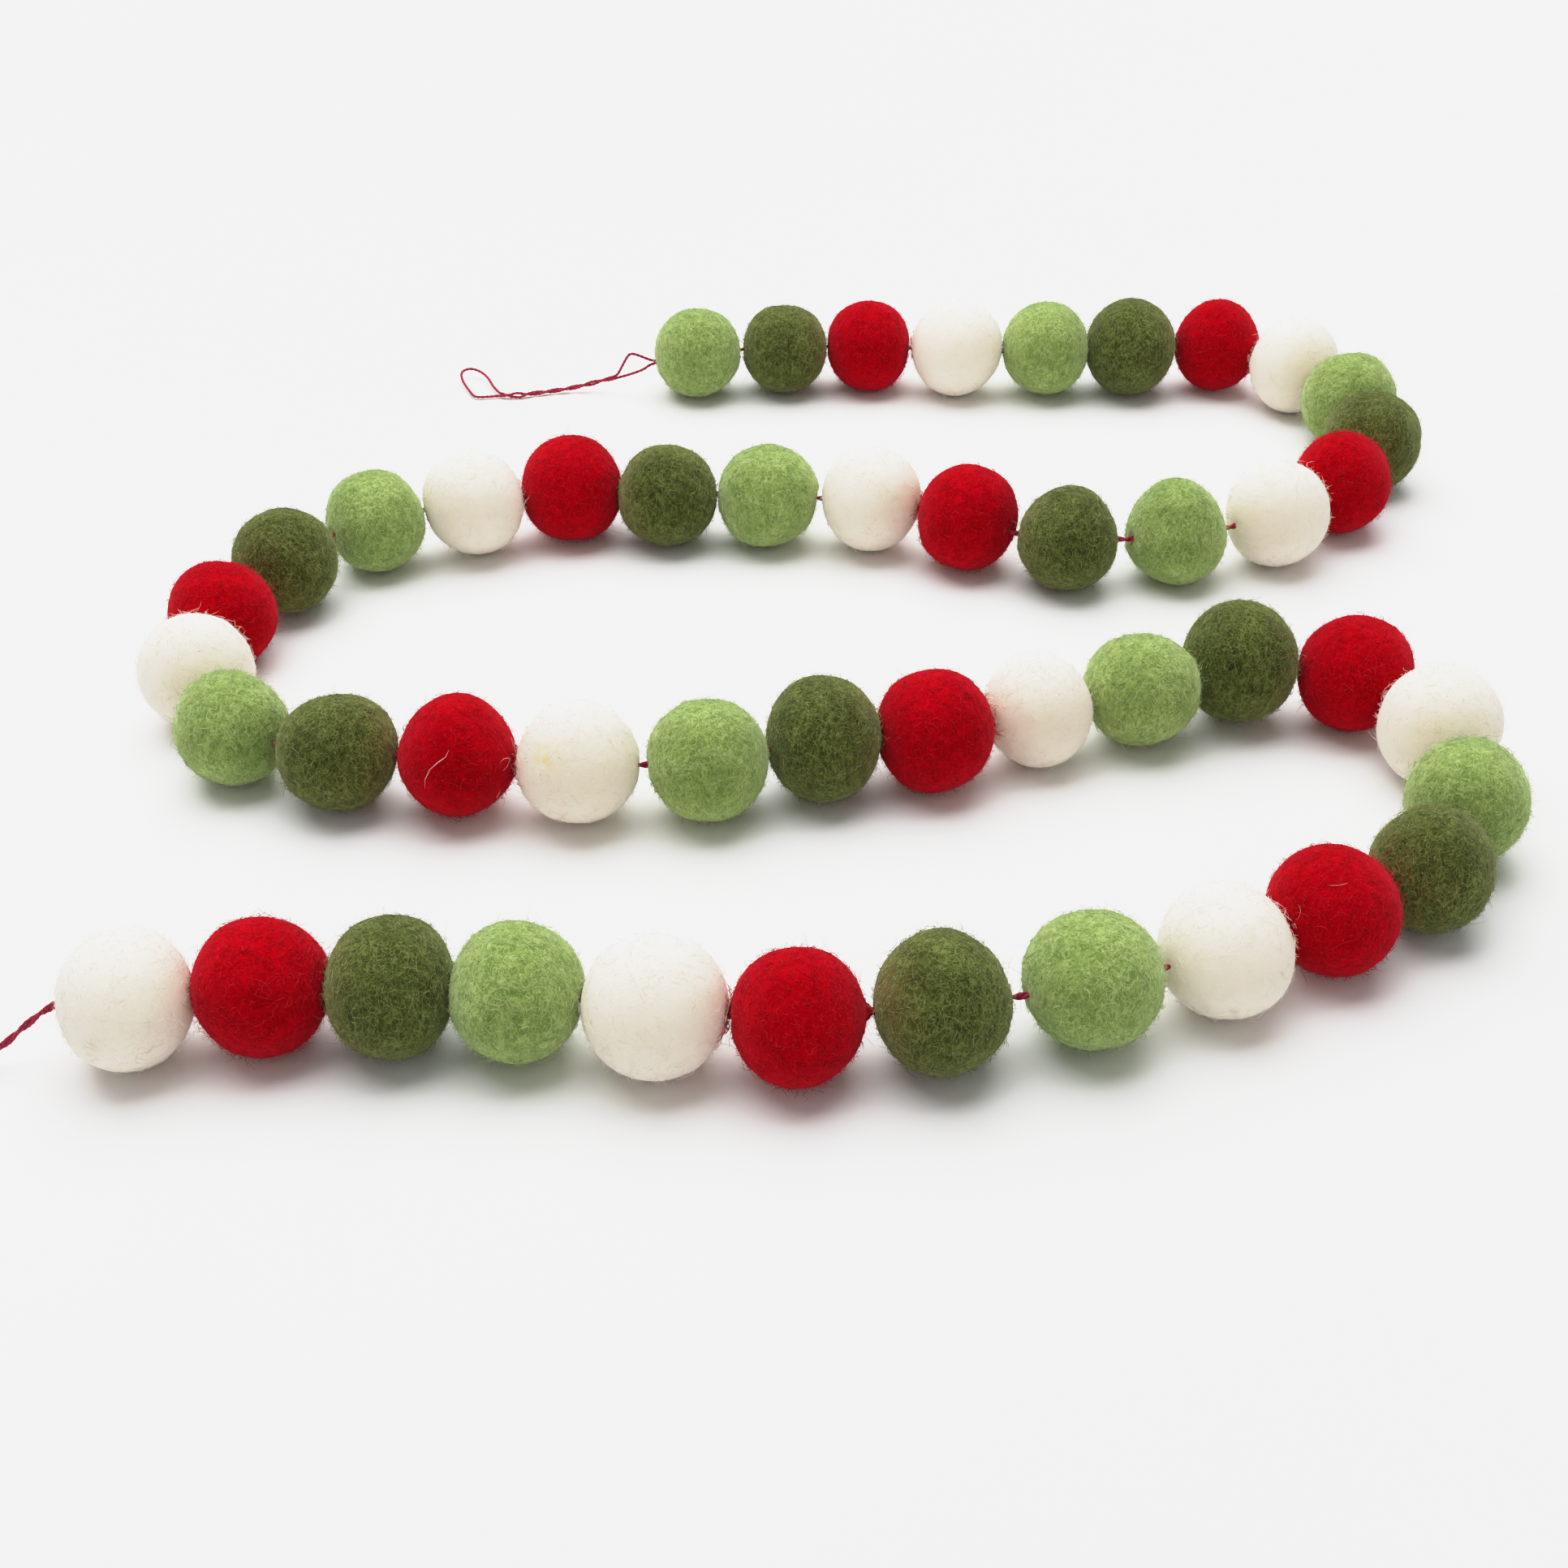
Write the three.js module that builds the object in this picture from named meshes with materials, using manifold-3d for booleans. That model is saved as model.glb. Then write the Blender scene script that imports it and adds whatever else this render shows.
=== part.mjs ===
// A garland of 48 wool felt balls strung on one doubled crimson thread, lying in an S on a flat surface.
// Millimetres, +Z up. X runs to the right and Y away from someone who stands in front of the near row.
// The origin is on the surface, under the middle of the balls.
import * as THREE from "three";
import { mergeVertices } from "three/addons/utils/BufferGeometryUtils.js";
import Module from "manifold-3d";

const wasm = await Module();
wasm.setup();

// Thread
const STRAND_D = 0.65;
const THREAD_D = 2 * STRAND_D; // two strands twisted together
const THREAD_SIDES = 8;
const THREAD_HEIGHT = 12.2; // above the surface, inside every ball
const CLEARANCE = 0.3; // left between neighbouring pieces
const TAIL_CLEARANCE = 0.9; // between a tail and the thread that it carries on
const BORE_D = THREAD_D + 2 * CLEARANCE;

// Balls
const FLAT_DEPTH = 0.5; // how much of its underside a resting ball presses flat
const LUMP = 0.012; // hand-rolled unevenness, as a share of the radius
const LUMP_TURN = 2.4; // radians by which the unevenness differs from one ball to the next
const COLUMNS = 12; // facets round a ball
const BANDS = 8; // facets from one thread end to the other
const FACET_GROWTH = (1 + 1 / Math.cos(Math.PI / COLUMNS)) / 2; // so that flat facets keep the size
const MOUTH = 2; // marks the outline's points at the mouths of the hole, outside the unit sphere
const FIRST_BALL_DIP = 2.4; // the far tail leaves the first ball this much below the thread's height
const LAST_BALL_RISE = 0.9; // and the near tail leaves the last ball this much above it

// The four wools repeat in this order from the far end to the near end.
const WOOLS = [
  { name: "lime", color: 0x93b45a },
  { name: "moss", color: 0x56632e },
  { name: "red", color: 0xb50f22 },
  { name: "white", color: 0xf0e9de },
];
const THREAD_COLOR = 0xa01f40;

// Kinds of hand-rolled ball: how square its outline is (2 is round), how much it narrows from
// bottom to top (less than 0 widens), and how far the wool is drawn out to a tip at its first end.
const FORMS = {
  round: { square: 2.05, narrowing: 0.0, tip: 0.0 },
  soft: { square: 2.3, narrowing: 0.0, tip: 0.0 },
  boxy: { square: 2.7, narrowing: 0.0, tip: 0.0 },
  egg: { square: 2.2, narrowing: -0.09, tip: 0.0 },
  pear: { square: 1.88, narrowing: 0.2, tip: 0.0 },
  peaked: { square: 1.85, narrowing: 0.03, tip: 0.0 },
  tipped: { square: 2.1, narrowing: 0.0, tip: 1.0 },
};

// One row for each ball from the far end: its length along the thread, its height, its width across
// the thread, the gap to the next ball, its form, how far its top leans to the next ball, and how
// far its middle lies to the left of the thread.
const BALL_COLUMNS = ["along", "tall", "across", "gap", "form", "lean", "aside"];
const BALLS = [
  [23.5, 25.0, 25.0, 2.0, "soft", 0.0, 0.0],
  [22.0, 25.0, 25.0, 1.8, "boxy", 0.0, 0.0],
  [22.0, 25.0, 25.0, 1.6, "boxy", 0.0, 1.0],
  [25.0, 26.5, 26.0, 0.9, "egg", 0.0, -1.5],
  [23.0, 26.5, 26.0, 0.5, "soft", -0.5, 0.0],
  [24.0, 27.5, 26.5, 1.6, "soft", 0.0, -1.0],
  [23.0, 26.5, 24.0, 3.4, "round", 0.5, 1.0],
  [23.0, 27.0, 25.5, 0.7, "round", 0.0, -1.0],
  [23.5, 26.0, 25.5, 1.8, "round", 0.0, 0.0],
  [24.5, 26.5, 25.0, 3.1, "round", 0.0, 0.0],
  [24.5, 26.5, 24.0, 1.0, "round", 0.5, 0.0],
  [25.0, 27.0, 25.5, 2.4, "round", 0.0, 1.0],
  [24.0, 27.0, 26.0, 3.4, "pear", 0.8, -1.0],
  [24.0, 25.5, 25.5, 2.1, "round", 0.0, 1.0],
  [23.0, 26.5, 26.0, 1.6, "soft", -0.5, -0.5],
  [24.0, 26.0, 26.0, 1.6, "egg", 0.0, -1.0],
  [24.5, 25.5, 25.5, 0.8, "soft", -0.8, 0.0],
  [23.5, 25.5, 25.5, 0.8, "soft", 0.0, 1.0],
  [23.5, 26.0, 26.0, 1.3, "boxy", 0.0, -2.0],
  [24.0, 26.5, 26.0, 0.7, "egg", 0.5, 2.0],
  [23.0, 25.0, 25.0, 4.6, "soft", 0.0, -1.5],
  [24.0, 26.0, 25.0, 1.7, "round", 0.0, 0.0],
  [24.0, 25.0, 25.0, 0.8, "round", 0.0, -0.5],
  [23.5, 26.0, 25.5, 2.5, "round", 0.0, 0.0],
  [24.0, 25.0, 24.0, 1.0, "round", 0.0, -1.0],
  [25.0, 24.5, 25.0, 0.5, "egg", 1.2, 0.0],
  [24.5, 26.5, 26.0, 0.4, "peaked", 0.0, 1.0],
  [25.0, 26.5, 26.0, 1.2, "round", 0.0, 0.0],
  [25.0, 26.5, 26.0, 1.3, "round", 0.0, -1.5],
  [23.0, 26.5, 26.5, 0.5, "soft", 0.0, 1.0],
  [22.5, 26.0, 26.0, 1.2, "boxy", 0.5, -1.0],
  [23.0, 24.5, 24.5, 0.5, "round", 0.0, 1.0],
  [24.0, 25.0, 25.0, 0.4, "egg", 0.0, -0.5],
  [23.5, 28.0, 25.5, 2.2, "egg", 0.0, 0.5],
  [24.0, 26.0, 24.5, 4.0, "egg", 0.8, 1.0],
  [23.5, 27.5, 26.0, 3.0, "round", 0.0, -1.0],
  [25.0, 27.0, 24.5, 1.4, "round", 0.0, 0.0],
  [23.0, 26.0, 24.0, 0.5, "round", 0.0, 1.0],
  [24.0, 25.5, 25.5, 0.5, "round", 0.5, -1.0],
  [25.0, 25.0, 25.5, 1.8, "round", 0.0, 0.0],
  [25.0, 25.5, 26.0, 2.6, "egg", 0.0, 0.0],
  [25.5, 27.0, 27.0, 0.4, "peaked", 0.5, 0.0],
  [24.5, 25.0, 25.5, 0.5, "tipped", 0.0, 0.5],
  [25.5, 26.0, 26.0, 0.4, "soft", 0.0, 0.0],
  [23.5, 25.5, 25.5, 0.4, "soft", 0.0, -0.5],
  [21.0, 26.0, 26.5, 0.8, "boxy", 0.0, 0.0],
  [23.5, 25.0, 25.5, 0.5, "soft", 0.0, -1.0],
  [22.5, 25.5, 25.5, 0.0, "soft", 0.0, 0.0],
].map((row) => Object.fromEntries(row.map((value, i) => [BALL_COLUMNS[i], value])));

// The garland's line, seen from above. It runs through the places where one ball meets the next.
const ROUTE = [
  [-49, 136],
  [-1, 141],
  [48, 138],
  [73, 138],
  [99, 141],
  [122, 139],
  [135, 119],
  [144, 96],
  [138, 70],
  [120, 48],
  [98, 36],
  [69, 29],
  [43, 32],
  [20, 45],
  [-4, 50],
  [-54, 53],
  [-78, 52],
  [-102, 44],
  [-124, 30],
  [-138, 6],
  [-143, -19],
  [-139, -43],
  [-120, -57],
  [-93, -62],
  [-42, -65],
  [-16, -60],
  [30, -49],
  [53, -41],
  [75, -32],
  [100, -26],
  [123, -38],
  [127, -67],
  [118, -93],
  [102, -106],
  [80, -118],
  [56, -128],
  [28, -136],
  [-23, -141],
  [-48, -137],
  [-95, -133],
  [-144, -139],
].map(([x, y]) => new THREE.Vector3(x, y, 0));
const ROUTE_STEP = 0.05; // how finely the line is walked when the balls are set on it
const ROUTE_DIVISIONS = 4000;

// The far tail's route: [x, y, z]. The thread's two strands part for a moment just outside the
// first ball, run on as one twisted pair, and end in a loop that closes on the pair.
const FAR_UPPER = [
  [-51.0, 136.0, 9.8],
  [-53.0, 135.7, 11.2],
  [-55.5, 135.3, 12.6],
  [-56.8, 135.2, 12.2],
  [-58.6, 135.7, 9.0],
  [-60.9, 136.4, 5.0],
];
const FAR_LOWER = [
  [-51.0, 136.0, 9.4],
  [-53.0, 135.9, 7.4],
  [-56.8, 136.0, 5.9],
  [-60.9, 136.4, 4.6],
];
const FAR_PAIR = [
  [-60.2, 136.3, 4.9],
  [-65.0, 137.2, 3.4],
  [-70.0, 137.3, 2.0],
  [-75.0, 136.8, 1.1],
  [-80.0, 135.7, 0.8],
  [-85.0, 134.2, 0.8],
  [-90.0, 132.8, 0.8],
  [-95.0, 134.2, 0.8],
];
const FAR_LOOP = [
  [-94.6, 134.0, 0.8],
  [-96.4, 138.6, 1.1],
  [-98.4, 143.2, 1.5],
  [-101.0, 146.4, 2.0],
  [-104.0, 147.6, 2.3],
  [-106.1, 145.4, 2.2],
  [-105.4, 141.3, 1.5],
  [-103.2, 136.6, 0.9],
  [-101.0, 132.8, 0.6],
  [-98.4, 132.6, 0.5],
  [-94.6, 134.0, 0.8],
];

// The near tail runs down to the surface as a twisted pair and ends in a loop like the other.
const NEAR_PAIR = [
  [-144.0, -139.2, 11.0],
  [-147.6, -139.8, 8.1],
  [-151.4, -140.6, 4.9],
  [-156.0, -141.8, 2.2],
  [-161.5, -142.9, 1.0],
  [-168.0, -143.5, 0.8],
  [-175.0, -144.2, 0.8],
  [-182.0, -144.4, 0.8],
  [-188.0, -143.4, 0.8],
];
const NEAR_LOOP = [
  [-187.6, -143.5, 0.8],
  [-191.0, -139.8, 0.6],
  [-195.5, -137.6, 0.5],
  [-199.6, -139.4, 0.5],
  [-200.2, -143.8, 0.5],
  [-196.8, -147.4, 0.5],
  [-191.8, -147.0, 0.6],
  [-187.6, -143.5, 0.8],
];
const STRAND_STEP = 3 * STRAND_D; // between the sections of a single strand
const THREAD_STEP = 2 * THREAD_D; // and of the twisted pair

// A closed geometry as a solid that can be joined and cut.
function solidFrom(geometry) {
  const bare = geometry.clone();
  bare.deleteAttribute("normal");
  bare.deleteAttribute("uv");
  const merged = mergeVertices(bare, 1e-4);
  return new wasm.Manifold(
    new wasm.Mesh({
      numProp: 3,
      vertProperties: merged.attributes.position.array,
      triVerts: new Uint32Array(merged.index.array),
    }),
  );
}

// A solid back as a geometry.
function geometryFrom(solid) {
  const mesh = solid.getMesh();
  const geometry = new THREE.BufferGeometry();
  geometry.setAttribute("position", new THREE.BufferAttribute(mesh.vertProperties, 3));
  geometry.setIndex(new THREE.BufferAttribute(mesh.triVerts, 1));
  geometry.computeVertexNormals();
  return geometry;
}

// The places on the route where one ball's thread hole meets the next one's, in the middle of each
// gap, with the free ends of the first and the last hole. The thread bends only there.
function meetingPlaces() {
  const line = new THREE.CatmullRomCurve3(ROUTE);
  line.arcLengthDivisions = ROUTE_DIVISIONS;
  const trail = line.getSpacedPoints(Math.round(line.getLength() / ROUTE_STEP));
  const places = [trail[0]];
  let step = 0;
  BALLS.forEach((ball, i) => {
    const gapBefore = i === 0 ? 0 : BALLS[i - 1].gap;
    const reach = gapBefore / 2 + ball.along + ball.gap / 2;
    while (step < trail.length - 1 && trail[step].distanceTo(places[i]) < reach) step++;
    places.push(trail[step]);
  });
  const heights = places.map(() => THREAD_HEIGHT);
  heights[0] -= FIRST_BALL_DIP;
  heights[BALLS.length] += LAST_BALL_RISE;
  return places.map((place, i) => new THREE.Vector3(place.x, place.y, heights[i]));
}

// Where a ball sits between two meeting places: its middle, its heading, and the two mouths of
// its thread hole, measured from the middle along the heading, to the left of it and upwards.
function seatOf(ball, gapBefore, from, to) {
  const heading = Math.atan2(to.y - from.y, to.x - from.x);
  const reach = Math.hypot(to.x - from.x, to.y - from.y);
  const back = gapBefore / 2 + ball.along / 2;
  const middle = new THREE.Vector3().lerpVectors(from, to, back / reach);
  middle.x -= ball.aside * Math.sin(heading);
  middle.y += ball.aside * Math.cos(heading);
  middle.z = ball.tall / 2 - FLAT_DEPTH;
  const mouths = [-1, 1].map((end) => {
    const height = THREE.MathUtils.lerp(from.z, to.z, (back + (end * ball.along) / 2) / reach);
    const up = height - middle.z;
    const off = (up / (ball.tall / 2)) ** 2 + (ball.aside / (ball.across / 2)) ** 2;
    return new THREE.Vector3(((end * ball.along) / 2) * Math.sqrt(1 - off), -ball.aside, up);
  });
  return { middle, heading, mouths };
}

// A point of the unit sphere, x along the thread, moved to the ball's hand-rolled surface.
function onBall(ball, number, point) {
  const form = FORMS[ball.form];
  const across = Math.hypot(point.y, point.z);
  const size = (Math.abs(point.x) ** form.square + across ** form.square) ** (-1 / form.square);
  const turn = number * LUMP_TURN;
  const lumps =
    Math.sin(3 * point.x + turn) +
    Math.sin(4 * point.y + 2 * turn) +
    Math.sin(3 * point.z + 5 * point.x + 3 * turn);
  const swell = size * (1 + LUMP * lumps * (1 - point.x ** 2));
  const width = swell * (1 - form.narrowing * point.z);
  const half = ball.along / 2 - (point.x < 0 ? form.tip : 0);
  return new THREE.Vector3(
    half * point.x * width + ball.lean * point.z * (1 - point.x ** 2),
    (ball.across / 2) * point.y * width * FACET_GROWTH,
    (ball.tall / 2) * point.z * swell * FACET_GROWTH,
  );
}

// One felt ball: a closed outline turned about the thread, with the thread's hole through it and
// its underside pressed flat.
function feltBall(ball, number, mouths) {
  const profile = [new THREE.Vector2(1, -MOUTH)];
  for (let band = 1; band < BANDS; band++) {
    const angle = (Math.PI * band) / BANDS;
    profile.push(new THREE.Vector2(Math.sin(angle), -Math.cos(angle)));
  }
  profile.push(new THREE.Vector2(1, MOUTH), new THREE.Vector2(1, -MOUTH));
  const geometry = new THREE.LatheGeometry(profile, COLUMNS);
  geometry.rotateZ(-Math.PI / 2);
  const places = geometry.attributes.position;
  const point = new THREE.Vector3();
  for (let i = 0; i < places.count; i++) {
    point.fromBufferAttribute(places, i);
    if (Math.abs(point.x) > (1 + MOUTH) / 2) {
      const mouth = mouths[point.x < 0 ? 0 : 1];
      point.set(mouth.x, mouth.y + (point.y * BORE_D) / 2, mouth.z + (point.z * BORE_D) / 2);
    } else {
      point.copy(onBall(ball, number, point));
    }
    places.setXYZ(i, point.x, point.y, point.z);
  }
  const block = new THREE.BoxGeometry(2 * ball.tall, 2 * ball.tall, ball.tall);
  block.translate(0, 0, -ball.tall + FLAT_DEPTH);
  return geometryFrom(solidFrom(geometry).subtract(solidFrom(block)));
}

// A line that is sampled at its own points, so that each section of a tube sits on one of them.
class PointLine extends THREE.Curve {
  constructor(points) {
    super();
    this.points = points;
  }
  getPointAt(u, target = new THREE.Vector3()) {
    const along = u * (this.points.length - 1);
    const i = Math.min(Math.floor(along), this.points.length - 2);
    return target.lerpVectors(this.points[i], this.points[i + 1], along - i);
  }
  getTangentAt(u, target = new THREE.Vector3()) {
    const i = Math.round(u * (this.points.length - 1));
    const last = this.points.length - 1;
    const back = this.points[i].clone().sub(this.points[Math.max(i - 1, 0)]).normalize();
    const ahead = this.points[Math.min(i + 1, last)].clone().sub(this.points[i]).normalize();
    return target.copy(back.add(ahead).normalize());
  }
}

// A tube of round section along a line that stops at each of its points.
function tubeAlong(points, diameter) {
  const section = new THREE.Shape();
  for (let side = 0; side < THREAD_SIDES; side++) {
    const angle = (2 * Math.PI * side) / THREAD_SIDES;
    const [x, y] = [(Math.cos(angle) * diameter) / 2, (Math.sin(angle) * diameter) / 2];
    if (side === 0) section.moveTo(x, y);
    else section.lineTo(x, y);
  }
  section.closePath();
  return new THREE.ExtrudeGeometry(section, {
    steps: points.length - 1,
    extrudePath: new PointLine(points),
  });
}

// The same along a smooth route through a few chosen places.
function tubeOnRoute(route, diameter, step) {
  const curve = new THREE.CatmullRomCurve3(route.map(([x, y, z]) => new THREE.Vector3(x, y, z)));
  const steps = Math.max(2, Math.round(curve.getLength() / step));
  return tubeAlong(curve.getSpacedPoints(steps), diameter);
}

// Several tubes that run into each other, as one solid.
function joined(geometries) {
  return geometryFrom(geometries.map(solidFrom).reduce((whole, next) => whole.add(next)));
}

function meshOf(name, geometry, color, roughness) {
  const material = new THREE.MeshStandardMaterial({ color, roughness, metalness: 0 });
  const mesh = new THREE.Mesh(geometry, material);
  mesh.name = name;
  return mesh;
}

const garland = new THREE.Group();
const meetings = meetingPlaces();
const threadLine = meetings.slice();

BALLS.forEach((ball, i) => {
  const gapBefore = i === 0 ? 0 : BALLS[i - 1].gap;
  const { middle, heading, mouths } = seatOf(ball, gapBefore, meetings[i], meetings[i + 1]);
  const wool = WOOLS[i % WOOLS.length];
  const name = `ball_${String(i + 1).padStart(2, "0")}_${wool.name}`;
  const mesh = meshOf(name, feltBall(ball, i + 1, mouths), wool.color, 1.0);
  mesh.position.copy(middle);
  mesh.rotation.z = heading;
  mesh.updateMatrix();
  if (i === 0) threadLine[0] = mouths[0].applyMatrix4(mesh.matrix);
  if (i === BALLS.length - 1) threadLine[i + 1] = mouths[1].applyMatrix4(mesh.matrix);
  garland.add(mesh);
});

garland.add(meshOf("thread_through_balls", tubeAlong(threadLine, THREAD_D), THREAD_COLOR, 0.8));

// A tail starts a clearance outside the end ball's hole, with a short stub of the pair.
function stub(mouth, towards) {
  const out = new THREE.Vector3(...towards).sub(mouth).normalize();
  const start = mouth.clone().addScaledVector(out, TAIL_CLEARANCE);
  return tubeAlong([start, new THREE.Vector3(...towards).addScaledVector(out, STRAND_D)], THREAD_D);
}

const farTail = [
  stub(threadLine[0], FAR_UPPER[0]),
  tubeOnRoute(FAR_UPPER, STRAND_D, STRAND_STEP),
  tubeOnRoute(FAR_LOWER, STRAND_D, STRAND_STEP),
  tubeOnRoute(FAR_PAIR, THREAD_D, THREAD_STEP),
  tubeOnRoute(FAR_LOOP, STRAND_D, STRAND_STEP),
];
garland.add(meshOf("thread_tail_far", joined(farTail), THREAD_COLOR, 0.8));

const nearTail = [
  stub(threadLine[BALLS.length], NEAR_PAIR[0]),
  tubeOnRoute(NEAR_PAIR, THREAD_D, THREAD_STEP),
  tubeOnRoute(NEAR_LOOP, STRAND_D, STRAND_STEP),
];
garland.add(meshOf("thread_tail_near", joined(nearTail), THREAD_COLOR, 0.8));

export default garland;
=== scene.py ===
import math

import bmesh
import bpy
import numpy as np
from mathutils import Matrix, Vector
from mathutils.bvhtree import BVHTree


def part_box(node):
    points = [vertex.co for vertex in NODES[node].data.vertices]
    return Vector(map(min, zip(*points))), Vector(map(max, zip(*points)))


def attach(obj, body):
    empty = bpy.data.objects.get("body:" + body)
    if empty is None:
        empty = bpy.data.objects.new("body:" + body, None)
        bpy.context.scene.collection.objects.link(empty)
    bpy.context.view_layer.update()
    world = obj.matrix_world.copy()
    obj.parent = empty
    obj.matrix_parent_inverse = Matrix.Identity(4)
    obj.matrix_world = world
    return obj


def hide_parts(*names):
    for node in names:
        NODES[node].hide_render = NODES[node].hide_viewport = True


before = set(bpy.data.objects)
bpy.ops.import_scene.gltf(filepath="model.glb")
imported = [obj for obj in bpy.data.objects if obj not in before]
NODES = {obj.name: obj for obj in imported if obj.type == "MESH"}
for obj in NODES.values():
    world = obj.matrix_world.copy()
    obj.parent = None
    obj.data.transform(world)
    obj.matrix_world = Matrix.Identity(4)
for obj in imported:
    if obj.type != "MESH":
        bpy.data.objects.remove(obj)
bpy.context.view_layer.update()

MM = 0.001
BALL_NAMES = sorted(name for name in NODES if name.startswith("ball_"))
STRAND_D = 0.75  # each of the thread's two strands, across its plies

# The camera, fitted to the photo

CAMERA_PLACE = (-12.92, -412.96, 259.0)
CAMERA_PITCH = 35.87  # degrees below level
CAMERA_LENS = 47.86


def add_camera():
    data = bpy.data.cameras.new("camera")
    data.sensor_width = 36
    data.lens = CAMERA_LENS
    data.clip_start = 0.01
    camera = bpy.data.objects.new("camera", data)
    camera.location = [v * MM for v in CAMERA_PLACE]
    camera.rotation_euler = (math.radians(90 - CAMERA_PITCH), 0, 0)
    bpy.context.scene.collection.objects.link(camera)
    bpy.context.scene.camera = camera


# Meshes and lines, in millimetres


def unit(v):
    return v / np.maximum(np.linalg.norm(v, axis=-1, keepdims=True), 1e-12)


def mesh_object(name, points, faces, materials, face_material=None, attributes=None):
    """A smooth triangle mesh from arrays, with its points given in millimetres."""
    mesh = bpy.data.meshes.new(name)
    mesh.vertices.add(len(points))
    mesh.vertices.foreach_set("co", (np.asarray(points) * MM).astype(np.float32).ravel())
    mesh.loops.add(faces.size)
    mesh.loops.foreach_set("vertex_index", faces.astype(np.int32).ravel())
    mesh.polygons.add(len(faces))
    mesh.polygons.foreach_set("loop_start", np.arange(0, faces.size, 3, dtype=np.int32))
    if face_material is not None:
        mesh.polygons.foreach_set("material_index", face_material.astype(np.int32))
    mesh.update(calc_edges=True)
    mesh.shade_smooth()
    for label, values in (attributes or {}).items():
        layer = mesh.attributes.new(label, "FLOAT", "POINT")
        layer.data.foreach_set("value", np.asarray(values, np.float32))
    for material in materials:
        mesh.materials.append(material)
    made = bpy.data.objects.new(name, mesh)
    bpy.context.scene.collection.objects.link(made)
    return made


def smooth_line(points, step):
    """Points on a smooth line through the given ones, about a step apart."""
    p = np.asarray(points, float)
    p = np.vstack([2 * p[0] - p[1], p, 2 * p[-1] - p[-2]])
    out = []
    for i in range(1, len(p) - 2):
        a, b, c, d = p[i - 1 : i + 3]
        n = max(1, int(np.ceil(np.linalg.norm(c - b) / step)))
        t = (np.arange(n) / n)[:, None]
        square = a - 2.5 * b + 2 * c - 0.5 * d
        cube = 1.5 * (b - c) + 0.5 * (d - a)
        out.append(b + 0.5 * t * (c - a) + t**2 * square + t**3 * cube)
    out.append(p[-2:-1])
    return np.vstack(out)


def lengths_along(points):
    """How far along a line each of its points is."""
    return np.r_[0, np.cumsum(np.linalg.norm(np.diff(points, axis=0), axis=1))]


def spaced(points, step):
    """The same line with its points evenly spaced."""
    lengths = lengths_along(points)
    n = max(2, int(round(lengths[-1] / step)))
    at = np.linspace(0, lengths[-1], n + 1)
    return np.c_[[np.interp(at, lengths, points[:, k]) for k in range(3)]].T


def eased(points, rounds):
    """The line with its corners rounded off."""
    p = points.copy()
    for _ in range(rounds):
        p[1:-1] = 0.25 * p[:-2] + 0.5 * p[1:-1] + 0.25 * p[2:]
    return p


def frames_along(points):
    """The direction, side and upward direction at each point of a line, without twist."""
    along = unit(np.gradient(points, axis=0))
    side = np.zeros_like(along)
    side[0] = unit(np.cross(along[0], [0, 0, 1.0]))
    for i in range(1, len(along)):
        s = side[i - 1] - along[i] * np.dot(side[i - 1], along[i])
        side[i] = unit(s)
    return along, side, np.cross(side, along)


def twisted(points, radius, pitch, phase):
    """A line that winds round another one. The radius is a number or one for each point."""
    along, side, up = frames_along(points)
    angle = phase + 2 * math.pi * lengths_along(points) / pitch
    radius = np.broadcast_to(radius, len(points))
    return points + (radius * np.cos(angle))[:, None] * side + (radius * np.sin(angle))[:, None] * up


PLY_PITCH = 2.6
PLY_DEPTH = 0.13  # of the grooves between the plies, as a share of the radius


def strand_tube(points, diameter, sides):
    """A two-ply strand along a line: a closed tube whose plies wind round each other."""
    along, side, up = frames_along(points)
    angle = np.arange(sides) * 2 * math.pi / sides
    winding = angle[None, :] - 2 * math.pi * lengths_along(points)[:, None] / PLY_PITCH
    radius = diameter / 2 * (1.0 + PLY_DEPTH * np.cos(2 * winding))
    sideways = np.cos(angle)[None, :, None] * side[:, None, :]
    upward = np.sin(angle)[None, :, None] * up[:, None, :]
    body = points[:, None, :] + radius[:, :, None] * (sideways + upward)
    n = len(points)
    vertices = np.vstack([body.reshape(-1, 3), points[:1], points[-1:]])
    i, j = np.meshgrid(np.arange(n - 1), np.arange(sides), indexing="ij")
    a, b = (i * sides + j).ravel(), (i * sides + (j + 1) % sides).ravel()
    c, d = b + sides, a + sides
    k = np.arange(sides)
    k2 = (k + 1) % sides
    first, last = n * sides, n * sides + 1
    faces = np.vstack(
        [
            np.c_[a, b, c],
            np.c_[a, c, d],
            np.c_[k2, k, np.full(sides, first)],
            np.c_[(n - 1) * sides + k, (n - 1) * sides + k2, np.full(sides, last)],
        ]
    )
    return vertices, faces[:, ::-1]


HAIR_SIDES = 3
HAIR_TAPER = 0.25  # how far in from each end the half wave that tapers a hair is taken up


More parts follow.
